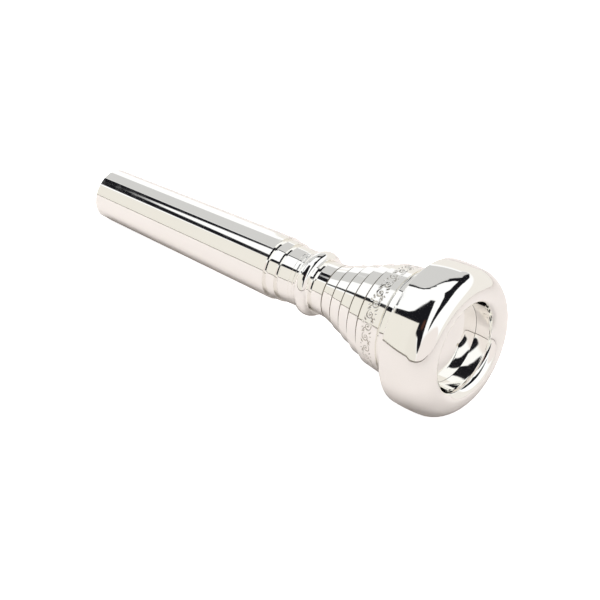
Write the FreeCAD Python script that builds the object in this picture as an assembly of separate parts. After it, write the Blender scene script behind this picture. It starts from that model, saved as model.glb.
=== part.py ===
import FreeCAD, Part
import math
import os

# A trumpet mouthpiece that comes apart in three turned pieces: a screw rim, a cup and a backbore
# with its shank. The axis is +X, from the shank's small end, where the air leaves, to the rim.
# Every outline is a half section, in millimetres. A corner is (x, r) where it is sharp,
# (x, r, size) where its edge is broken by a small chamfer, and (x, r, size, "round") where it
# is a tangent arc of that radius.

# ---- Overall ----
TOTAL_LENGTH = 87.3
BACKBORE_SEAT = 55.5        # where the cup's small end seats on the backbore's shoulder
RIM_SEAT = 77.8             # where the rim's back seats on the cup's flange
EDGE = 0.12                 # every outside corner is eased like this for plating
SHARP_EDGE = 0.06           # the crisp ones
WALL_LEAN = 0.03            # the tool leaves a groove's wall this far off square
GROOVE_BOTTOM = 0.15        # the tool's corners, in the bottom of a groove

# ---- Air way ----
TIP_BORE_RADIUS = 4.3
THROAT_RADIUS = 1.83
FLARE = [(20, 3.8), (44, 2.75)]     # where one reamed taper of the backbore meets the next
BACKBORE_END = 64.3         # the narrow end of the backbore, where the throat begins
BOWL_FLOOR = (74.3, THROAT_RADIUS, 2.2, "round")
BOWL_WALL = (80.9, 7.15, 8.5, "round")
BOWL_SEAM = (82.95, 7.62)   # where the rim ends and the cup goes on, inside

# ---- Shank: a 1 in 20 taper that wedges in the receiver ----
TIP_RADIUS = 4.9
SHANK_LENGTH = 44.45
SHANK_TAPER = 1 / 20

# ---- Turned rings and bead between the shank and the cup ----
RING_1_START = 45.25
RING_1_END = 46.95
RING_1_RADIUS = 5.8
RING_2_START = 47.6
RING_2_END = 50.1
RING_2_RADIUS = 5.45
RING_FALL = 0.2             # each ring is this much thinner at its rim end
FILLET_END = 50.85
FILLET_RADIUS = 5.35
BEAD_START = 51.55
BEAD_TOP = 52.95
BEAD_END = 54.35
BEAD_RADIUS = 6.2
BEAD_FOOT_RADIUS = 5.4
COLLAR_RING_END = 54.8
GROOVE_1_RADIUS = 5.5
GROOVE_2_RADIUS = 5.2
COVE_BEFORE_BEAD_RADIUS = 5.15
GROOVE_3_RADIUS = 4.85      # beside the seam, so the joint line is lost in it

# ---- Stepped cone on the outside of the cup ----
CUP_NECK_RADIUS = 5.05
STEP_START = 58.1
STEP_PITCH = 2.86
STEP_RADII = [(5.25, 5.35), (6.2, 6.42), (7.2, 7.5), (8.15, 8.65), (9.1, 9.66)]
BAND_END = 74.4             # the plain band after the last step carries the engraving
BAND_END_RADIUS = 10.38
COVE_RADIUS = 10.0
COVE_START = 75.5
FLANGE_RADIUS = 11.9

# ---- Rim ----
RIM_BACK_RADIUS = 13.66
RIM_BACK_EDGE = 0.25
RIM_RADIUS = 13.88          # the wall is a slight barrel
RIM_BARREL = 80.2           # where the wall is widest
RIM_BARREL_ROUND = 10
CREST_RADIUS = 9.95         # the high point that the lips rest on
CROWN_START = 83.0
CROWN_START_RADIUS = 13.83
BITE_END = 85.2
BITE_RADIUS = 8.05

# ---- Screw joints, as plain cylinders with a running clearance ----
CLEARANCE = 0.05
END_GAP = 0.05              # the outer shoulder seats first
TENON_RADIUS = 3.6          # outside of the backbore's male thread
TENON_RELIEF_RADIUS = 3.2
TENON_PILOT_RADIUS = 3.0
TENON_RELIEF_END = 56.5
TENON_THREAD_END = 62.3
COLLAR_RADIUS = 10.1        # outside of the cup's male thread under the rim
COLLAR_RELIEF_RADIUS = 9.7
COLLAR_PILOT_RADIUS = 9.4
COLLAR_RELIEF_END = 78.6
COLLAR_THREAD_END = 81.5
THREAD_CHAMFER = 0.35


def vector(point):
    return FreeCAD.Vector(point[0], 0, point[1])


def broken_corner(before, corner, after):
    """The edges that ease a corner: its first point, its edge and its last point."""
    here = vector(corner)
    back = (vector(before) - here).normalize()
    on = (vector(after) - here).normalize()
    if len(corner) == 3:
        first = here + back * corner[2]
        last = here + on * corner[2]
        return first, Part.LineSegment(first, last).toShape(), last
    radius = corner[2]
    half_angle = back.getAngle(on) / 2
    first = here + back * (radius / math.tan(half_angle))
    last = here + on * (radius / math.tan(half_angle))
    middle = here + (back + on).normalize() * (radius / math.sin(half_angle) - radius)
    return first, Part.Arc(first, middle, last).toShape(), last


def outline(corners):
    """The edges from the first corner to the last, with those between broken or rounded."""
    edges = []
    pen = vector(corners[0])
    for before, corner, after in zip(corners, corners[1:], corners[2:]):
        if len(corner) == 2:
            edges.append(Part.LineSegment(pen, vector(corner)).toShape())
            pen = vector(corner)
        else:
            first, edge, last = broken_corner(before, corner, after)
            edges.append(Part.LineSegment(pen, first).toShape())
            edges.append(edge)
            pen = last
    edges.append(Part.LineSegment(pen, vector(corners[-1])).toShape())
    return edges


def quarter_ellipse(start, end, centre):
    """A quarter of an ellipse between two points, one level with its centre and one over it."""
    half_x = max(abs(start[0] - centre[0]), abs(end[0] - centre[0]))
    half_r = max(abs(start[1] - centre[1]), abs(end[1] - centre[1]))
    along_x = vector((centre[0] + half_x, centre[1]))
    along_r = vector((centre[0], centre[1] + half_r))
    major, minor = (along_x, along_r) if half_x >= half_r else (along_r, along_x)
    ellipse = Part.Ellipse(major, minor, vector(centre))
    first, last = sorted([ellipse.parameter(vector(start)), ellipse.parameter(vector(end))])
    if last - first > math.pi:
        first, last = last, first + 2 * math.pi
    return ellipse.toShape(first, last)


def turned(edges):
    """A half section spun once round the axis."""
    face = Part.Face(Part.Wire(Part.__sortEdges__(edges)))
    return face.revolve(FreeCAD.Vector(0, 0, 0), FreeCAD.Vector(1, 0, 0), 360)


def backbore():
    """Shank, rings, bead and threaded tenon round the flared backbore."""
    shank_radius = TIP_RADIUS + SHANK_LENGTH * SHANK_TAPER / 2
    bead_start = (BEAD_START, BEAD_FOOT_RADIUS)
    bead_end = (BEAD_END, BEAD_FOOT_RADIUS)
    shank_and_rings = outline([
        (0, TIP_BORE_RADIUS),
        (0, TIP_RADIUS, EDGE),
        (SHANK_LENGTH, shank_radius, SHARP_EDGE),
        (SHANK_LENGTH + WALL_LEAN, GROOVE_1_RADIUS, GROOVE_BOTTOM),
        (RING_1_START - WALL_LEAN, GROOVE_1_RADIUS, SHARP_EDGE),
        (RING_1_START, RING_1_RADIUS, SHARP_EDGE),
        (RING_1_END, RING_1_RADIUS - RING_FALL, EDGE),
        (RING_1_END + WALL_LEAN, GROOVE_2_RADIUS, GROOVE_BOTTOM),
        (RING_2_START - WALL_LEAN, GROOVE_2_RADIUS, SHARP_EDGE),
        (RING_2_START, RING_2_RADIUS, SHARP_EDGE),
        (RING_2_END, RING_2_RADIUS - RING_FALL),
        (RING_2_END + WALL_LEAN, FILLET_RADIUS),
        (FILLET_END, FILLET_RADIUS, SHARP_EDGE),
        (FILLET_END + GROOVE_BOTTOM, COVE_BEFORE_BEAD_RADIUS),
        (BEAD_START - GROOVE_BOTTOM, COVE_BEFORE_BEAD_RADIUS),
        bead_start,
    ])
    bead = Part.Arc(vector(bead_start), vector((BEAD_TOP, BEAD_RADIUS)), vector(bead_end)).toShape()
    tenon_and_bore = outline([
        bead_end,
        (COLLAR_RING_END, BEAD_FOOT_RADIUS, SHARP_EDGE),
        (COLLAR_RING_END + WALL_LEAN, GROOVE_3_RADIUS, GROOVE_BOTTOM),
        (BACKBORE_SEAT, GROOVE_3_RADIUS),
        (BACKBORE_SEAT, TENON_RELIEF_RADIUS),
        (TENON_RELIEF_END, TENON_RELIEF_RADIUS),
        (TENON_RELIEF_END + THREAD_CHAMFER, TENON_RADIUS),
        (TENON_THREAD_END - THREAD_CHAMFER, TENON_RADIUS),
        (TENON_THREAD_END, TENON_PILOT_RADIUS),
        (BACKBORE_END, TENON_PILOT_RADIUS, THREAD_CHAMFER),
        (BACKBORE_END, THROAT_RADIUS),
        *reversed(FLARE),
        (0, TIP_BORE_RADIUS),
    ])
    return turned(shank_and_rings + [bead] + tenon_and_bore)


def cup():
    """Stepped cone, engraved band and cove outside; thread, bowl, throat and socket inside."""
    neck = [
        (BACKBORE_SEAT, TENON_RADIUS + CLEARANCE),
        (BACKBORE_SEAT, CUP_NECK_RADIUS, SHARP_EDGE),
    ]
    steps = []
    for number, (below, above) in enumerate(STEP_RADII):
        x = STEP_START + number * STEP_PITCH
        steps += [(x, below), (x + WALL_LEAN, above, SHARP_EDGE)]
    band = [
        (BAND_END, BAND_END_RADIUS, EDGE),
        (BAND_END + WALL_LEAN, COVE_RADIUS, GROOVE_BOTTOM),
        (COVE_START, COVE_RADIUS),
    ]
    cove = quarter_ellipse((COVE_START, COVE_RADIUS), (RIM_SEAT, FLANGE_RADIUS), (COVE_START, FLANGE_RADIUS))
    collar_end = BOWL_SEAM[0] - END_GAP
    collar = [
        (RIM_SEAT, FLANGE_RADIUS),
        (RIM_SEAT, COLLAR_RELIEF_RADIUS),
        (COLLAR_RELIEF_END, COLLAR_RELIEF_RADIUS),
        (COLLAR_RELIEF_END + THREAD_CHAMFER, COLLAR_RADIUS),
        (COLLAR_THREAD_END - THREAD_CHAMFER, COLLAR_RADIUS),
        (COLLAR_THREAD_END, COLLAR_PILOT_RADIUS),
        (collar_end, COLLAR_PILOT_RADIUS, THREAD_CHAMFER),
        (collar_end, BOWL_SEAM[1]),
    ]
    socket_floor = BACKBORE_END + END_GAP
    thread_end = TENON_THREAD_END + CLEARANCE
    bowl_throat_and_socket = [
        BOWL_WALL,
        BOWL_FLOOR,
        (socket_floor, THROAT_RADIUS),
        (socket_floor, TENON_PILOT_RADIUS + CLEARANCE),
        (thread_end, TENON_PILOT_RADIUS + CLEARANCE),
        (thread_end - THREAD_CHAMFER, TENON_RADIUS + CLEARANCE),
        (BACKBORE_SEAT, TENON_RADIUS + CLEARANCE),
    ]
    return turned(outline(neck + steps + band) + [cove] + outline(collar + bowl_throat_and_socket))


def rim():
    """Ring with the crown that the lips rest on, and the female thread behind it."""
    crown_start = (CROWN_START, CROWN_START_RADIUS)
    crest = (TOTAL_LENGTH, CREST_RADIUS)
    bite_end = (BITE_END, BITE_RADIUS)
    crown = [
        quarter_ellipse(crown_start, crest, (CROWN_START, CREST_RADIUS)),
        quarter_ellipse(crest, bite_end, (BITE_END, CREST_RADIUS)),
    ]
    thread_end = COLLAR_THREAD_END + CLEARANCE
    thread_and_wall = outline([
        bite_end,
        BOWL_SEAM,
        (BOWL_SEAM[0], COLLAR_PILOT_RADIUS + CLEARANCE),
        (thread_end, COLLAR_PILOT_RADIUS + CLEARANCE),
        (thread_end - THREAD_CHAMFER, COLLAR_RADIUS + CLEARANCE),
        (RIM_SEAT, COLLAR_RADIUS + CLEARANCE),
        (RIM_SEAT, RIM_BACK_RADIUS, RIM_BACK_EDGE),
        (RIM_BARREL, RIM_RADIUS, RIM_BARREL_ROUND, "round"),
        crown_start,
    ])
    return turned(crown + thread_and_wall)


os.makedirs("parts", exist_ok=True)
for name, solid in [("backbore_shank", backbore()), ("cup_body", cup()), ("screw_rim", rim())]:
    solid.exportStep("parts/" + name + ".step")
    print(name, solid.ShapeType, "valid" if solid.isValid() else "INVALID", round(solid.Volume, 1), "mm3")
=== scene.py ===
"""A silver-plated trumpet mouthpiece: backbore and shank, cup, and screw rim, lying on a pale table."""

import math

import bpy
import numpy as np
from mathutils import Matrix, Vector


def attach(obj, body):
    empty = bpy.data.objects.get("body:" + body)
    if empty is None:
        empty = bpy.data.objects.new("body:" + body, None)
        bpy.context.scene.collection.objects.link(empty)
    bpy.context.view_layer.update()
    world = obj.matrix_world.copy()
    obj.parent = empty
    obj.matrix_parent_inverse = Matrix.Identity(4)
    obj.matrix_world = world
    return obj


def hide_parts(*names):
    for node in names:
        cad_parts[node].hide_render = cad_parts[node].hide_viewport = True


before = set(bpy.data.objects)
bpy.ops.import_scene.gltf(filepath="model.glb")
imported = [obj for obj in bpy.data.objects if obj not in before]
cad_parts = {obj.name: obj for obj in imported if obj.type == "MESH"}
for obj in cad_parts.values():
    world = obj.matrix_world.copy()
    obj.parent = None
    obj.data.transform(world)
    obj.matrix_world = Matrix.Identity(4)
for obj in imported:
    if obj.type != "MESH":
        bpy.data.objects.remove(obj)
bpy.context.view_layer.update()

# ---- Backbore ----
# The small end: the tapered shank that wedges in the trumpet, turned rings, a bead and a threaded
# tenon, with the flared air way reamed through it. Turned from brass bar between centres, then
# silver plated and buffed on the outside. The tenon screws into the cup until its shoulder seats.

MM = 0.001
AROUND = 192            # faces round a turned piece
FLAT_STARTS = 0.05      # mm past a rounded edge, so a long flat wall reflects as a flat one
ROUND_FACES = 4

TIP = 0.0
TIP_RADIUS = 4.9
TIP_BORE_RADIUS = 4.3
THROAT_RADIUS = 1.83
SEAT = 55.5             # the shoulder that the cup's small end seats on
TENON_END = 64.3
TENON_THREAD = (56.75, 62.1)
TENON_CREST = 3.55
TENON_PITCH = 1.0
TENON_DEPTH = 0.38      # of the thread's groove
BEAD_TURN = 1.625       # radius of the bead's own outline
BEAD_CENTRE = (52.95, 4.575)


def oval(centre, half_x, half_r, start, end, faces):
    """Corners along part of an oval, from one angle to another, in degrees from the axis."""
    corners = []
    for number in range(faces + 1):
        turn = math.radians(start + (end - start) * number / faces)
        corners.append((centre[0] + half_x * math.cos(turn), centre[1] + half_r * math.sin(turn)))
    return corners


def stations(start, end, pitch, radius, each=10):
    """Corners along a thread, close enough together to be cut."""
    count = round((end - start) / pitch * each)
    return [(start + (end - start) * number / count, radius) for number in range(count + 1)]


def with_flats(corners):
    """The corners, with a point on each long wall just clear of its rounded ends."""
    points = []
    for start, end in zip(corners, corners[1:] + corners[:1]):
        points.append((start[0], start[1], start[2] if len(start) == 3 else 0))
        wall = math.dist(start[:2], end[:2])
        clear_start = start[2] + FLAT_STARTS if len(start) == 3 else 0
        clear_end = end[2] + FLAT_STARTS if len(end) == 3 else 0
        if wall - clear_start - clear_end < FLAT_STARTS:
            continue
        flats = []
        if clear_start:
            flats.append(clear_start)
        if clear_end:
            flats.append(wall - clear_end)
        for along in flats:
            share = along / wall
            x = start[0] + (end[0] - start[0]) * share
            radius = start[1] + (end[1] - start[1]) * share
            points.append((x, radius, 0))
    return points


def draw_line(points):
    """A line through points in mm, drawn corner by corner in the plane of the half section."""
    bpy.ops.object.select_all(action="DESELECT")
    bpy.ops.mesh.primitive_plane_add(size=MM)
    bpy.ops.object.mode_set(mode="EDIT")
    bpy.ops.mesh.merge(type="CENTER")
    pen = Vector((points[0][0], 0, points[0][1])) * MM
    bpy.ops.transform.translate(value=pen)
    for point in points[1:]:
        here = Vector((point[0], 0, point[1])) * MM
        bpy.ops.mesh.extrude_region_move(TRANSFORM_OT_translate={"value": here - pen})
        pen = here


def spin_round(faces):
    """The line being edited, spun once round the axis."""
    bpy.ops.mesh.select_all(action="SELECT")
    bpy.ops.mesh.spin(steps=faces, angle=2 * math.pi, center=(0, 0, 0), axis=(1, 0, 0))
    bpy.ops.mesh.select_all(action="SELECT")
    bpy.ops.mesh.remove_doubles(threshold=1e-7)


def turned(name, corners):
    """A piece turned to a closed half section in mm.

    A corner is (x, r), or (x, r, how far back it is rounded)."""
    points = with_flats(corners)
    draw_line(points + points[:1])
    bpy.ops.mesh.select_all(action="SELECT")
    bpy.ops.mesh.remove_doubles(threshold=1e-8)
    bpy.ops.object.mode_set(mode="OBJECT")
    piece = bpy.context.object
    piece.name = name
    weights = piece.data.attributes.new("bevel_weight_vert", "FLOAT", "POINT")
    for vertex, point in zip(weights.data, points):
        vertex.value = point[2]
    edges = piece.modifiers.new("rounded edges", "BEVEL")
    edges.affect = "VERTICES"
    edges.limit_method = "WEIGHT"
    edges.width = MM
    edges.segments = ROUND_FACES
    edges.use_clamp_overlap = False
    bpy.ops.object.modifier_apply(modifier=edges.name)
    bpy.ops.object.mode_set(mode="EDIT")
    spin_round(AROUND)
    bpy.ops.mesh.normals_make_consistent(inside=False)
    bpy.ops.object.mode_set(mode="OBJECT")
    return piece


def vertices_of(piece):
    """Where a mesh's vertices are, in mm, as x, radius and turn round the axis."""
    flat = np.zeros(len(piece.data.vertices) * 3, np.float32)
    piece.data.vertices.foreach_get("co", flat)
    x, y, z = flat.reshape(-1, 3).astype(float).T / MM
    return x, np.hypot(y, z), np.arctan2(z, y)


def move_vertices(piece, x, radius, turn):
    """Puts a mesh's vertices at x, radius and turn round the axis, in mm."""
    places = np.stack([x, radius * np.cos(turn), radius * np.sin(turn)], axis=1) * MM
    piece.data.vertices.foreach_set("co", places.astype(np.float32).ravel())
    piece.data.update()


def cut_thread(piece, zone, surface, pitch, depth):
    """Cuts a right-hand thread into one wall, towards the axis, or away from it if depth is below 0."""
    x, radius, turn = vertices_of(piece)
    on_wall = (x > zone[0] - 0.01) & (x < zone[1] + 0.01) & (np.abs(radius - surface) < 0.02)
    groove = np.clip(0.5 - 0.85 * np.cos(2 * np.pi * x / pitch - turn), 0, 1)
    run_out = np.clip(np.minimum(x - zone[0], zone[1] - x) / (0.45 * pitch), 0, 1)
    move_vertices(piece, x, np.where(on_wall, radius - depth * groove * run_out, radius), turn)


def linear(code):
    """An sRGB hex code as the linear colour that a shader takes."""
    colour = []
    for at in (0, 2, 4):
        channel = int(code[at:at + 2], 16) / 255
        colour.append(channel / 12.92 if channel <= 0.04045 else ((channel + 0.055) / 1.055) ** 2.4)
    return (*colour, 1)


def node(tree, kind, inputs, **settings):
    """Adds one shader node with its settings. An input is a value, or the socket that it is linked to."""
    new = tree.nodes.new("ShaderNode" + kind)
    for setting, value in settings.items():
        setattr(new, setting, value)
    for name, value in inputs.items():
        if isinstance(value, bpy.types.NodeSocket):
            tree.links.new(value, new.inputs[name])
        else:
            new.inputs[name].default_value = value
    return new


def silver_plate(name, bright, dull, smoothest, roughest, line_width, line_depth, cut_colour=None):
    """Silver plate over turned brass: its colour drifts a little, its gloss varies, and the turning and
    buffing leave fine rings round the axis. Widths and depths are in mm."""
    material = bpy.data.materials.new(name)
    material.use_nodes = True
    tree = material.node_tree
    tree.nodes.clear()
    output = node(tree, "OutputMaterial", {})
    shader = node(tree, "BsdfPrincipled", {"Metallic": 1.0})
    tree.links.new(shader.outputs["BSDF"], output.inputs["Surface"])
    place = node(tree, "TexCoord", {}).outputs["Object"]

    # Colour: clouds of very slight tarnish, a few mm across.
    clouds = node(tree, "TexNoise", {"Vector": place, "Scale": 1 / (7 * MM), "Detail": 3.0,
                                     "Roughness": 0.55})
    tint = node(tree, "Mix", {0: clouds.outputs["Fac"], 6: linear(bright), 7: linear(dull)},
                data_type="RGBA")
    base = tint.outputs[2]

    # Gloss: cloudy, with sparse wipe marks.
    haze = node(tree, "TexNoise", {"Vector": place, "Scale": 1 / (2.5 * MM), "Detail": 4.0,
                                   "Roughness": 0.6})
    spread = node(tree, "MapRange", {"Value": haze.outputs["Fac"], "From Min": 0.35, "From Max": 0.7,
                                     "To Min": smoothest, "To Max": roughest})
    gloss = spread.outputs["Result"]

    # Turning and buffing marks: fine across, long round the axis.
    stretched = node(tree, "Mapping", {"Vector": place, "Scale": (1 / (line_width * MM), 90, 90)})
    lines = node(tree, "TexNoise", {"Vector": stretched.outputs["Vector"], "Scale": 1.0, "Detail": 2.0})
    swirl = node(tree, "Mapping", {"Vector": place, "Scale": (150, 1500, 1500),
                                   "Rotation": (0.0, 0.5, 0.3)})
    wipes = node(tree, "TexNoise", {"Vector": swirl.outputs["Vector"], "Scale": 1.0, "Detail": 1.0})
    both = node(tree, "Math", {0: wipes.outputs["Fac"], 1: 0.35, 2: lines.outputs["Fac"]},
                operation="MULTIPLY_ADD")
    bump = node(tree, "Bump", {"Height": both.outputs[0], "Strength": 1.0, "Distance": line_depth * MM})
    tree.links.new(bump.outputs["Normal"], shader.inputs["Normal"])

    # Engraved cuts, where the buffing wheel doesn't reach.
    if cut_colour:
        cut = node(tree, "Attribute", {}, attribute_name="cut").outputs["Fac"]
        base = node(tree, "Mix", {0: cut, 6: base, 7: linear(cut_colour)}, data_type="RGBA").outputs[2]
        gloss = node(tree, "Math", {0: cut, 1: 0.22, 2: gloss}, operation="MULTIPLY_ADD").outputs[0]
    tree.links.new(base, shader.inputs["Base Color"])
    tree.links.new(gloss, shader.inputs["Roughness"])
    return material


backbore = turned("backbore_turned", [
    (TIP, TIP_BORE_RADIUS, 0.1), (TIP, TIP_RADIUS, 0.14),
    # the shank, 1 in 20 on the diameter, and the groove after it
    (44.45, 6.01, 0.06), (44.48, 5.5, 0.14), (45.22, 5.5, 0.1),
    # two rings, each a little thinner at its rim end
    (45.25, 5.74, 0.1), (46.95, 5.68, 0.1), (46.98, 5.2, 0.14), (47.57, 5.2, 0.08),
    (47.6, 5.42, 0.1), (50.1, 5.36), (50.13, 5.3, 0.03), (50.85, 5.3, 0.06),
    (50.95, 5.15, 0.05), (51.45, 5.15, 0.05), (51.55, 5.4),
    *oval(BEAD_CENTRE, BEAD_TURN, BEAD_TURN, 144, 36, 26),
    (54.35, 5.4, 0.04), (54.8, 5.4, 0.06), (54.83, 4.85, 0.13), (SEAT, 4.85),
    # the tenon: shoulder, relief, thread and pilot
    (SEAT, 3.2, 0.05), (56.4, 3.2),
    *stations(*TENON_THREAD, TENON_PITCH, TENON_CREST),
    (62.3, 3.0, 0.1), (TENON_END, 3.0, 0.3), (TENON_END, THROAT_RADIUS, 0.06),
    # the air way, flaring back to the tip
    (44, 2.75, 0.8), (20, 3.8, 0.8),
])
cut_thread(backbore, TENON_THREAD, TENON_CREST, TENON_PITCH, TENON_DEPTH)

# Bright silver plate, buffed on every outside surface.
plate = silver_plate("silver plate, buffed", "FCFBF8", "F9F8F3", 0.03, 0.075, 0.12, 0.00006, "9A9488")
# The same plate over the reamed air way, which no buffing wheel reaches.
reamed_plate = silver_plate(
    "silver plate over reamed brass", "F3F0E6", "E4DFD2", 0.14, 0.24, 0.09, 0.00025)
# Thin plate over cut threads and shoulders, a little warm where the brass grins through.
thread_plate = silver_plate(
    "silver plate over cut thread", "EFEADD", "DED6C4", 0.14, 0.26, 0.08, 0.0002)

REAMED = 1              # each plate's place among a piece's materials, after the buffed one
THREADED = 2


def plate_faces(piece, is_reamed, is_threaded):
    """Gives each face its plate. Each test takes a face's middle, as x and radius in mm."""
    for material in (plate, reamed_plate, thread_plate):
        piece.data.materials.append(material)
    for face in piece.data.polygons:
        x, radius = face.center.x / MM, math.hypot(face.center.y, face.center.z) / MM
        if is_threaded(x, radius):
            face.material_index = THREADED
        elif is_reamed(x, radius):
            face.material_index = REAMED


def finish_piece(piece, body, node_name):
    """Shades a finished piece and ties it to the body that it moves with."""
    bpy.ops.object.select_all(action="DESELECT")
    piece.select_set(True)
    bpy.context.view_layer.objects.active = piece
    bpy.ops.object.shade_smooth_by_angle(angle=math.radians(35))
    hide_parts(node_name)
    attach(piece, body)


plate_faces(
    backbore,
    lambda x, radius: x > 0.2 and radius < 4.29 and x < SEAT or radius < 2.2,
    lambda x, radius: x > SEAT - 0.05 and radius > 2.2,
)
finish_piece(backbore, "backbore", "backbore_shank")

# ---- Cup ----
# The middle piece: a neck that takes the tenon, a cone turned in steps, an engraved band, a cove
# and a flange outside; bowl and throat inside; and a threaded collar for the rim. Turned from
# brass, engraved by hand with a square graver, plated and buffed.

STEP_START = 58.1
STEP_PITCH = 2.86
STEP_RADII = [(5.25, 5.35), (6.2, 6.42), (7.2, 7.5), (8.15, 8.65), (9.1, 9.66)]
RELIEF_DEPTH = 0.07
RELIEF_CLEAR = 0.2      # how far a relief runs out in front of its step
RELIEF_UNDER = 0.75     # and how much further for each mm of the step's height
RELIEF_OUTSIDE = 4.6    # the reliefs are further than this from the axis, and the inside is nearer
BAND_END = (74.4, 10.38)
COVE = (75.5, 11.9)     # centre of the cove's oval, and the flange's radius
RIM_SEAT = 77.8
COLLAR_THREAD = (78.8, 81.2)
COLLAR_CREST = 10.05
COLLAR_PITCH = 0.8
COLLAR_END = 82.9
THREAD_DEPTH = 0.33     # of every groove but the tenon's
SOCKET_THREAD = (56.6, 62.1)
SOCKET_CREST = 3.62     # the tapped socket's small radius
SOCKET_END = 64.35
BOWL_MOUTH = 7.61
BAND_GAP = [(70.1, 9.737), (73.9, 10.306)]
BAND_RADIUS = 10.02             # at its middle
BAND_CLEARS = 9                 # near the band, only the outside is this far from the axis, in mm
STRIP = [(70.35, 9.774), (73.65, 10.268)]
STRIP_FACES = (46, 960)         # across and round, for the engraving: too many for one STL file
REPEATS = 15                    # of the scroll, round the band
REPEAT = 2 * math.pi * BAND_RADIUS / REPEATS
WIDEST_CUT = 0.15               # half the width of the graver's widest cut, in mm
DEEPEST_CUT = 0.1


def bowl_line():
    """The bowl from its mouth to the throat, meant as a deep curve and a tight one.

    Known fault: slerp gives spokes 1 mm long, so both curves have that radius. The line runs out
    past the collar and in to the axis, and nearly shuts the bowl. Each spoke lacks "* radius"."""
    mouth = (COLLAR_END, BOWL_MOUTH)
    wall = (80.9, 7.15)
    floor = (74.3, THROAT_RADIUS)
    throat = (72, THROAT_RADIUS)
    line = [mouth]
    for before, corner, after, radius, faces in [
        (mouth, wall, floor, 8.5, 24),
        (wall, floor, throat, 2.2, 16),
    ]:
        here = Vector(corner)
        back = (Vector(before) - here).normalized()
        on = (Vector(after) - here).normalized()
        half = back.angle(on) / 2
        centre = here + (back + on).normalized() * (radius / math.sin(half))
        first = here + back * (radius / math.tan(half)) - centre
        last = here + on * (radius / math.tan(half)) - centre
        for number in range(faces + 1):
            spoke = first.slerp(last, number / faces)
            line.append(tuple(centre + spoke))
    return line


steps = []
reliefs = []
tread = (SEAT, 5.05)
for number, (below, above) in enumerate(STEP_RADII):
    x = STEP_START + number * STEP_PITCH
    # the relief that the tool leaves at the foot of the step, as deep all along, then the step itself
    foot = x - RELIEF_CLEAR - RELIEF_UNDER * (above - below)
    foot_radius = below + (tread[1] - below) * (x - foot) / (x - tread[0])
    steps += [(foot, foot_radius, 0.02), (foot + 0.02, foot_radius - RELIEF_DEPTH, 0.03)]
    steps += [(x, below - RELIEF_DEPTH, 0.03), (x + 0.03, above, 0.12 if number else 0.05)]
    reliefs.append((foot, x))
    tread = (x + 0.03, above)

cup = turned("cup_turned", [
    (SEAT, 3.67), (SEAT, 5.05, 0.06),
    *steps,
    # the band, with two corners where the engraved strip is let in
    *BAND_GAP, (*BAND_END, 0.14), (74.43, 10.0, 0.12), (COVE[0], 10.0),
    *oval(COVE, RIM_SEAT - COVE[0], COVE[1] - 10.0, -90, 0, 22)[1:-1],
    (RIM_SEAT, COVE[1], 0.05), (RIM_SEAT, 9.7, 0.05), (78.5, 9.7),
    *stations(*COLLAR_THREAD, COLLAR_PITCH, COLLAR_CREST), (81.5, 9.4, 0.1),
    (COLLAR_END, 9.4, 0.3),
    *bowl_line(),
    (SOCKET_END, THROAT_RADIUS, 0.06), (SOCKET_END, 3.05), (62.35, 3.05),
    *reversed(stations(*SOCKET_THREAD, TENON_PITCH, SOCKET_CREST, 8)),
])
cut_thread(cup, COLLAR_THREAD, COLLAR_CREST, COLLAR_PITCH, THREAD_DEPTH)
cut_thread(cup, SOCKET_THREAD, SOCKET_CREST, TENON_PITCH, -THREAD_DEPTH)


def volute(along, across, outer, inner, start, turns):
    """A spiral cut: points along, points across, and half widths, in mm."""
    share = np.linspace(0, 1, 150)
    turn = np.radians(start + 360 * turns * share)
    radius = outer + (inner - outer) * share ** 0.75
    width = WIDEST_CUT * (0.5 + 0.5 * np.sin(np.pi * np.sqrt(share)))
    return along + radius * np.cos(turn), across + radius * np.sin(turn), width


def bent(start, corner, end, share):
    """The point at a share, from 0 to 1, of the curve that leaves start towards corner and meets
    end from it. Share may be an array, which gives an array for each coordinate."""
    return [
        (1 - share) ** 2 * start[i] + 2 * share * (1 - share) * corner[i] + share ** 2 * end[i]
        for i in (0, 1)
    ]


def leaf(start, middle, end, swell=1.0):
    """A short bent cut that swells and runs out, as a graver is rolled in and lifted."""
    share = np.linspace(0, 1, 40)
    along, across = bent(start, middle, end, share)
    return along, across, WIDEST_CUT * swell * (0.25 + 0.9 * np.sin(np.pi * share ** 0.7))


def engraving(along, across):
    """How deeply the running scroll is cut at each point of the band, from 0 to 1."""
    cuts = []
    for side, shift in ((1, 0), (-1, REPEAT / 2)):
        for cut_along, cut_across, width in (
            volute(1.0, -0.1, 0.95, 0.14, -160, 1.55),
            leaf((-0.95, -0.15), (-0.35, -1.15), (0.45, -0.92)),
            leaf((0.1, 0.55), (-0.1, 1.05), (-0.55, 1.15)),
            leaf((0.55, 0.86), (0.62, 1.15), (0.35, 1.36), 0.8),
            leaf((1.25, 0.9), (1.55, 1.1), (1.5, 1.4), 0.8),
            leaf((1.8, 0.45), (2.15, 0.75), (2.15, 1.2)),
            leaf((1.02, -0.1), (1.03, -0.09), (1.04, -0.08), 1.2),
        ):
            cuts.append((cut_along + shift, cut_across * side, width))
    cut_along, cut_across, width = [np.concatenate(column) for column in zip(*cuts)]
    deepest = np.zeros(len(along))
    for neighbour in (-REPEAT, 0, REPEAT):
        away = np.hypot(along[:, None] - cut_along - neighbour, across[:, None] - cut_across)
        deepest = np.maximum(deepest, np.clip(width - away, 0, None).max(axis=1))
    return deepest / WIDEST_CUT


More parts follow.
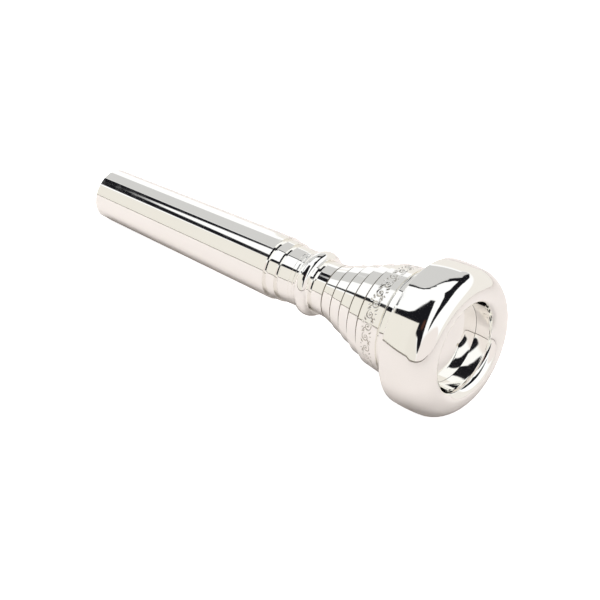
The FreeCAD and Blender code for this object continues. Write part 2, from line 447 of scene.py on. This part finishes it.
# The engraved strip is its own fine lathe-turned ring, cut by moving its vertices, then joined in.
across_faces, round_faces = STRIP_FACES
strip_line = []
for number in range(across_faces + 1):
    share = number / across_faces
    strip_line.append([STRIP[0][i] + (STRIP[1][i] - STRIP[0][i]) * share for i in (0, 1)])
draw_line(strip_line)
spin_round(round_faces)
bpy.ops.mesh.normals_make_consistent(inside=False)
bpy.ops.object.mode_set(mode="OBJECT")
strip = bpy.context.object
x, radius, turn = vertices_of(strip)
across = x - (STRIP[0][0] + STRIP[1][0]) / 2
along = (turn / (2 * np.pi) * REPEATS % 1) * REPEAT
shares_of_band = zip(np.array_split(along, 60), np.array_split(across, 60))
depth = np.concatenate([engraving(*share_of_band) for share_of_band in shares_of_band])
move_vertices(strip, x, radius - DEEPEST_CUT * depth, turn)
strip.data.attributes.new("cut", "FLOAT", "POINT").data.foreach_set("value", depth.astype(np.float32))

# Let the strip in: open the cup's band, join the two, and bridge each side.
bpy.ops.object.select_all(action="DESELECT")
cup.select_set(True)
bpy.context.view_layer.objects.active = cup
bpy.ops.object.mode_set(mode="EDIT")
bpy.ops.mesh.select_mode(type="FACE")
bpy.ops.mesh.select_all(action="DESELECT")
bpy.ops.object.mode_set(mode="OBJECT")
gap_middle = sum(corner[0] for corner in BAND_GAP) / 2 * MM
for face in cup.data.polygons:
    face.select = abs(face.center.x - gap_middle) < 0.5 * MM and face.center.yz.length > BAND_CLEARS * MM
bpy.ops.object.mode_set(mode="EDIT")
bpy.ops.mesh.delete(type="ONLY_FACE")
bpy.ops.object.mode_set(mode="OBJECT")
cup.data.attributes.new("cut", "FLOAT", "POINT")
strip.select_set(True)
bpy.ops.object.join()
for edge_of_gap, edge_of_strip in zip(BAND_GAP, STRIP):
    bpy.ops.object.mode_set(mode="EDIT")
    bpy.ops.mesh.select_mode(type="VERT")
    bpy.ops.mesh.select_all(action="DESELECT")
    bpy.ops.object.mode_set(mode="OBJECT")
    low, high = sorted((edge_of_gap[0], edge_of_strip[0]))
    for vertex in cup.data.vertices:
        at_edge = min(abs(vertex.co.x / MM - low), abs(vertex.co.x / MM - high)) < 0.002
        vertex.select = at_edge and vertex.co.yz.length > BAND_CLEARS * MM
    bpy.ops.object.mode_set(mode="EDIT")
    bpy.ops.mesh.bridge_edge_loops()
    bpy.ops.mesh.select_all(action="SELECT")
    bpy.ops.mesh.normals_make_consistent(inside=False)
    bpy.ops.object.mode_set(mode="OBJECT")

plate_faces(
    cup,
    lambda x, radius: radius < 2.6,
    lambda x, radius: (x < 66 and radius < 4.2) or (x > RIM_SEAT - 0.02 and radius > 8.2),
)
# Plate in the reliefs, which the wheel passes over: it stays dull, and its colour is darkened as painted
# shade, where shade falls at the foot of each step.
relief_shade_plate = silver_plate(
    "silver plate, painted shade in the reliefs", "A39C92", "8B8378", 0.2, 0.35, 0.08, 0.0002)
cup.data.materials.append(relief_shade_plate)
RELIEF_SHADE = len(cup.data.materials) - 1
for face in cup.data.polygons:
    in_relief = any(foot < face.center.x / MM < end for foot, end in reliefs)
    if in_relief and face.center.yz.length > RELIEF_OUTSIDE * MM:
        face.material_index = RELIEF_SHADE
finish_piece(cup, "cup", "cup_body")

# ---- Rim ----
# The ring that the lips rest on: a slightly barrelled wall, a broad crown with its crest near the
# inside edge, and a tapped bore behind. Turned from brass, plated and polished the brightest of all.

WALL_BACK = 13.66
WALL_STARTS = 78.2
WALL_ENDS = 83.5
WALL_FACES = 16
BARREL = (81.2, 13.87)              # where the wall is widest
BARREL_FALL = 0.0188                # mm per mm squared, either side of there
CROWN_CORNER = (83.898, 13.736)     # the corner that the blend from wall to crown rounds off
CROWN_STARTS = 84.15
CROWN = (82.5, 9.95, 4.8, 3.95)     # the crown's oval: its centre, half length and half height
BITE = (85.2, 8.05)
REGISTER_RADIUS = 9.45              # the plain bore past the thread
REGISTER_END = 82.95
TAPPED_THREAD = (78.1, 81.3)
TAPPED_CREST = 10.12
TAPPED_END = 81.55


def barrel(x):
    """The wall's radius at x, both in mm."""
    return BARREL[1] - BARREL_FALL * (x - BARREL[0]) ** 2


def blended(start, corner, end, faces):
    """Corners along the curve that leaves start towards corner, and arrives at end from it."""
    line = []
    for number in range(1, faces):
        line.append(tuple(bent(start, corner, end, number / faces)))
    return line


wall = []
for number in range(WALL_FACES + 1):
    x = WALL_STARTS + (WALL_ENDS - WALL_STARTS) * number / WALL_FACES
    wall.append((x, barrel(x)))
crown_turn = math.degrees(math.acos((CROWN_STARTS - CROWN[0]) / CROWN[2]))
crown = oval(CROWN[:2], CROWN[2], CROWN[3], crown_turn, 0, 44)
crest = crown[-1]

rim = turned("rim_turned", [
    (RIM_SEAT, 10.3), (RIM_SEAT, WALL_BACK, 0.25),
    *wall,
    *blended(wall[-1], CROWN_CORNER, crown[0], 8),
    *crown,
    *oval((BITE[0], crest[1]), crest[0] - BITE[0], BITE[1] - crest[1], 0, 90, 30)[1:],
    (REGISTER_END, 7.62), (REGISTER_END, REGISTER_RADIUS, 0.1), (TAPPED_END, REGISTER_RADIUS),
    *reversed(stations(*TAPPED_THREAD, COLLAR_PITCH, TAPPED_CREST)),
])
cut_thread(rim, TAPPED_THREAD, TAPPED_CREST, COLLAR_PITCH, -THREAD_DEPTH)
plate_faces(
    rim,
    lambda x, radius: False,
    lambda x, radius: x < REGISTER_END + 0.02 and radius < 10.6,
)
finish_piece(rim, "rim", "screw_rim")

# ---- Table ----
# The white acrylic that the mouthpiece lies on, lit from below, and a sheet over it that only the
# silver shows. The acrylic touches the rim's wall and the shank's tip, so it falls a little
# towards the rim.

SLOPE = (BARREL[1] - TIP_RADIUS) / BARREL[0]
TABLE_HALF = 600        # mm, half its side
TABLE_GLOW = 0.82
SHEET_ENDS = (-300, 380)
SHEET_FRONT = -115
SHEET_BACK = 330
SHEET_LIFT = 0.02       # mm over the acrylic, so that the two don't mix


def lay_card(name, corners, above=0.0):
    """A flat card on the table's plane or above it, from its corners' x and y in mm."""
    mesh = bpy.data.meshes.new(name)
    places = [(x * MM, y * MM, (-TIP_RADIUS - SLOPE * x + above) * MM) for x, y in corners]
    mesh.from_pydata(places, [], [tuple(range(len(corners)))])
    card = bpy.data.objects.new(name, mesh)
    bpy.context.collection.objects.link(card)
    return card


def plain_paint(name, code, roughness):
    """Flat pale paint or card."""
    material = bpy.data.materials.new(name)
    material.use_nodes = True
    shader = material.node_tree.nodes["Principled BSDF"]
    shader.inputs["Base Color"].default_value = linear(code)
    shader.inputs["Roughness"].default_value = roughness
    return material


def seen_in_silver_only(thing):
    """Leaves a thing to the mirror reflections: it can't be seen directly and casts no shadow."""
    thing.visible_camera = False
    thing.visible_diffuse = False
    thing.visible_shadow = False


def rectangle(left, right, front, back):
    """A rectangle's corners, in order."""
    return [(left, front), (right, front), (right, back), (left, back)]


table = lay_card("table", rectangle(-TABLE_HALF, TABLE_HALF, -TABLE_HALF, TABLE_HALF))
acrylic = plain_paint("white acrylic, lit from below", "FAFAFA", 0.9)
acrylic_inputs = acrylic.node_tree.nodes["Principled BSDF"].inputs
acrylic_inputs["Emission Color"].default_value = linear("FFFFFF")
acrylic_inputs["Emission Strength"].default_value = TABLE_GLOW
table.data.materials.append(acrylic)
table.visible_glossy = False

sheet = lay_card("sheet", rectangle(*SHEET_ENDS, SHEET_FRONT, SHEET_BACK), above=SHEET_LIFT)
sheet.data.materials.append(plain_paint("pinkish white sheet, seen in the silver", "D0CAC8", 0.9))
seen_in_silver_only(sheet)

# ---- Studio ----
# A round white tent over the table, lit evenly, with black flags that give the silver its dark
# bands, and one opening to the room behind it, which the shank shows. The tent can't be seen
# directly: past the table's edge the camera sees the room.

TENT_RADIUS = 0.33
TENT_MIDDLE = (0.045, 0, 0)
OPENING = [(41, 38), (41, 170), (53.2, 170), (53.2, 38)]     # its corners on the tent's chart


def chart(tree, direction):
    """A direction's place on the tent's chart, in degrees: its lean from the shank's end of the
    axis, and its turn up from the front."""
    parts = node(tree, "SeparateXYZ", {0: direction}).outputs
    back = node(tree, "Math", {0: parts["X"], 1: -1.0}, operation="MULTIPLY").outputs[0]
    front = node(tree, "Math", {0: parts["Y"], 1: -1.0}, operation="MULTIPLY").outputs[0]
    lean = node(tree, "Math", {0: back}, operation="ARCCOSINE").outputs[0]
    turn = node(tree, "Math", {0: parts["Z"], 1: front}, operation="ARCTAN2").outputs[0]
    lean = node(tree, "Math", {0: lean}, operation="DEGREES").outputs[0]
    turn = node(tree, "Math", {0: turn}, operation="DEGREES").outputs[0]
    return node(tree, "CombineXYZ", {0: lean, 1: turn, 2: 1.0}).outputs[0]


def region(tree, place, corners, softness):
    """1 inside the patch of the chart whose corners, in degrees, go round it in order, 0 outside."""
    middle = [sum(corner[i] for corner in corners) / len(corners) for i in (0, 1)]
    mask = None
    for start, end in zip(corners, corners[1:] + corners[:1]):
        length = math.dist(start, end)
        across = ((start[1] - end[1]) / length, (end[0] - start[0]) / length)
        if across[0] * (middle[0] - start[0]) + across[1] * (middle[1] - start[1]) < 0:
            across = (-across[0], -across[1])
        edge = (*across, -across[0] * start[0] - across[1] * start[1])
        side = node(tree, "VectorMath", {0: place, 1: edge}, operation="DOT_PRODUCT").outputs["Value"]
        step = node(tree, "MapRange", {"Value": side, "From Min": -softness, "From Max": softness},
                    interpolation_type="SMOOTHSTEP").outputs["Result"]
        if mask is None:
            mask = step
        else:
            mask = node(tree, "Math", {0: mask, 1: step}, operation="MULTIPLY").outputs[0]
    return mask


def hung(tree, place, base, cards):
    """The base colour with cards hung over it.

    A card is its colour, its corners and how soft its edge is."""
    ground = node(tree, "RGB", {})
    ground.outputs[0].default_value = base
    glow = ground.outputs[0]
    for value, corners, softness in cards:
        mask = region(tree, place, corners, softness)
        glow = node(tree, "Mix", {0: mask, 6: glow, 7: value}, data_type="RGBA").outputs[2]
    return glow


def light(red, green, blue):
    """A linear colour for a glow, where more than 1 is brighter than white paper."""
    return (red, green, blue, 1)


WHITE = light(1.07, 1.08, 1.10)
CREAM = light(0.88, 0.85, 0.79)
PALE = light(0.90, 0.87, 0.83)
PINKISH = light(0.90, 0.84, 0.82)
DIM = light(0.85, 0.82, 0.76)
GREY = light(0.66, 0.66, 0.66)
BLACK = light(0.010, 0.010, 0.013)
BROWN = light(0.07, 0.03, 0.022)

bpy.ops.object.select_all(action="DESELECT")
bpy.ops.mesh.primitive_uv_sphere_add(segments=64, ring_count=32, radius=TENT_RADIUS, location=TENT_MIDDLE)
tent = bpy.context.object
tent.name = "tent"
tent.visible_camera = False
bpy.ops.object.shade_smooth()

tent_paint = bpy.data.materials.new("lit tent with flags")
tent_paint.use_nodes = True
tent_paint.cycles.emission_sampling = "NONE"
tree = tent_paint.node_tree
tree.nodes.clear()
tent.data.materials.append(tent_paint)
place = node(tree, "TexCoord", {}).outputs["Object"]
direction = node(tree, "VectorMath", {0: place}, operation="NORMALIZE").outputs["Vector"]
chart_place = chart(tree, direction)
canopy = hung(tree, chart_place, WHITE, [
    # front wall, side and back wall
    (CREAM, [(10, -180), (10, 46), (92, 44), (118, 0), (118, -180)], 2.5),
    (DIM, [(74, -120), (74, 40), (92, 40), (118, 0), (118, -120)], 2),
    (PINKISH, [(118, -180), (118, 2), (128, 30), (160, 60), (180, 60), (180, -180)], 5),
    (PALE, [(10, 150), (10, 182), (180, 182), (180, 150)], 2),
    (PALE, [(10, -182), (10, -110), (180, -110), (180, -182)], 2),
    # behind, low: only the bowl shows it
    (BLACK, [(13, -172), (13, -145), (30, -120), (30, -150)], 2),
    # grey panels high at the back
    (GREY, [(18, 91), (18, 138), (41.3, 138), (41.3, 91)], 1.5),
    (GREY, [(53, 93.5), (53, 138), (57, 145), (74.5, 147), (74.5, 118), (69, 97), (62, 92)], 1),
    (GREY, [(74, 121), (74, 149), (94, 149), (98, 140), (93, 124)], 1),
    # the frame of the window over the cone and the rim's wall
    (BLACK, [(22, 54), (22, 61), (41.3, 55), (41.3, 47)], 2),
    (BLACK, [(52.7, 43.3), (52.7, 51.5), (65, 53), (71, 53), (71, 43.3)], 0.7),
    (BLACK, [(60, 43.3), (60, 48.6), (69, 56.5), (75, 56.5), (75, 43.3)], 0.7),
    (BLACK, [(65, 43.3), (65, 47.7), (71.5, 62), (77, 62), (77, 43.3)], 0.7),
    (BLACK, [(67, 43.3), (67, 45.8), (74, 71), (80, 71), (80, 43.3)], 0.7),
    (BLACK, [(67.5, 43.3), (67.5, 50.2), (76.5, 79), (84, 79), (84, 43.3)], 0.7),
    (BLACK, [(52.7, 92.1), (52.7, 95.4), (56, 95.4), (62, 92.9), (62, 90.7)], 0.5),
    (BLACK, [(61.3, 90.6), (61.3, 92.9), (66.2, 93.7), (66.2, 91.3)], 0.5),
    (BLACK, [(65.2, 91), (65.2, 93.4), (69.2, 97.6), (70.1, 95)], 0.5),
    (BLACK, [(68.4, 94.3), (68.4, 96.8), (71, 104.3), (72.3, 102.3)], 0.5),
    (BLACK, [(70.2, 99), (70.2, 102), (73.3, 119), (74.8, 117)], 0.5),
    # the large flag in front
    (BLACK, [(74, 43.4), (76, 78.7), (102, 79.5), (102, 43.6)], 1),
    (BLACK, [(99, 28), (99, 79.5), (105, 73), (115, 52), (119, 40), (114, 20)], 1.2),
    (BLACK, [(106, 25.5), (112, 48), (119, 40), (123, 25), (124, 14), (121, 4), (118.5, 2)], 1.2),
    (BLACK, [(88, 29.5), (84, 46), (103, 46), (103, 26)], 2.5),
    (BROWN, [(104, 38), (104, 50), (112, 50), (114, 40), (111, 36)], 2.5),
    # the arch over the rim
    (BLACK, [(73.8, 114.5), (73.8, 124.5), (92, 127.5), (92, 118)], 0.8),
    (BLACK, [(91, 118), (91, 127), (97, 134), (106, 136), (103, 124.5)], 0.8),
    (BLACK, [(93, 140), (93, 148.5), (105, 144), (114, 133), (112, 112), (103, 124)], 1),
    (BLACK, [(103, 125), (106, 140), (114, 133), (117, 100), (111.5, 100)], 1),
    (BLACK, [(106, 97), (112, 112), (118, 100), (118, 90)], 0.8),
    (BLACK, [(111, 97), (112, 134), (120, 122), (128, 106), (124, 75), (118, 86)], 1),
    (BLACK, [(123, 76), (126, 112), (134, 95), (136, 80), (136, 62), (127.5, 61)], 1),
    (BLACK, [(127, 62), (136, 64), (135, 45), (133, 37), (130, 46)], 1.2),
])
shine = node(tree, "Emission", {"Color": canopy})
opening = region(tree, chart_place, OPENING, 0.02)
clear = node(tree, "BsdfTransparent", {})
skin = node(tree, "MixShader", {0: opening, 1: shine.outputs[0], 2: clear.outputs[0]})
node(tree, "OutputMaterial", {"Surface": skin.outputs[0]})

# The room that shows through the opening: white, with its own cards.
world = bpy.data.worlds.new("room")
bpy.context.scene.world = world
world.use_nodes = True
world.cycles.sampling_method = "NONE"
tree = world.node_tree
tree.nodes.clear()
direction = node(tree, "TexCoord", {}).outputs["Generated"]
room = hung(tree, chart(tree, direction), WHITE, [
    (CREAM, [(20, 10), (20, 50), (60, 50), (60, 10)], 2),
    (GREY, [(20, 92), (20, 136), (58, 136), (58, 92)], 1.5),
    (BLACK, [(28, 49), (28, 57), (43, 54), (43, 46)], 1.5),
    (BLACK, [(45, 57.5), (45, 91), (48.2, 91), (48.2, 57)], 0.7),
    (BLACK, [(46.5, 56.5), (46.5, 74), (54.5, 56), (54.5, 47.5)], 0.7),
    (BLACK, [(47.5, 76), (47.5, 91), (52.6, 91), (52.6, 84.5)], 0.7),
])
background = node(tree, "Background", {"Color": room})
node(tree, "OutputWorld", {"Surface": background.outputs[0]})

# A dark lath along the sheet's front edge, painted shade standing in for the shaded gap between the sheet
# and the front wall, which the silver shows as a fine line.
LATH_HEIGHT = 4.2
lath_mesh = bpy.data.meshes.new("lath")
lath_foot = [Vector((x, SHEET_FRONT, -TIP_RADIUS - SLOPE * x)) for x in SHEET_ENDS]
lath_top = [place + Vector((0, 0, LATH_HEIGHT)) for place in reversed(lath_foot)]
lath_mesh.from_pydata([place * MM for place in lath_foot + lath_top], [], [(0, 1, 2, 3)])
lath = bpy.data.objects.new("lath", lath_mesh)
bpy.context.collection.objects.link(lath)
lath.data.materials.append(plain_paint("grey lath, painted gap shade", "5C564E", 0.8))
seen_in_silver_only(lath)

# Overhead light for the acrylic, the sheet and the lath: the silver doesn't show it.
overhead = bpy.data.lights.new("overhead", "AREA")
overhead.energy = 4.0
overhead.size = 0.5
overhead_object = bpy.data.objects.new("overhead", overhead)
overhead_object.location = (0.045, 0.0, 0.3)
overhead_object.visible_glossy = False
bpy.context.collection.objects.link(overhead_object)

# ---- Camera ----
# A long lens from the rim's side, above and to the front. The mouthpiece lies across the picture,
# with its rim near and its tip far.

CAMERA_PLACE = (252.8, -237.03, 184.99)
CAMERA_AIM = (-0.5579, 0.64718, -0.51953)
LENS = 118.98           # mm
SENSOR_WIDTH = 36       # mm

camera = bpy.data.objects.new("camera", bpy.data.cameras.new("camera"))
camera.data.lens = LENS
camera.data.sensor_width = SENSOR_WIDTH
camera.data.clip_start = 0.01
camera.location = Vector(CAMERA_PLACE) * MM
camera.rotation_euler = Vector(CAMERA_AIM).to_track_quat("-Z", "Y").to_euler()
bpy.context.collection.objects.link(camera)
bpy.context.scene.camera = camera
bpy.context.scene.view_settings.view_transform = "Standard"
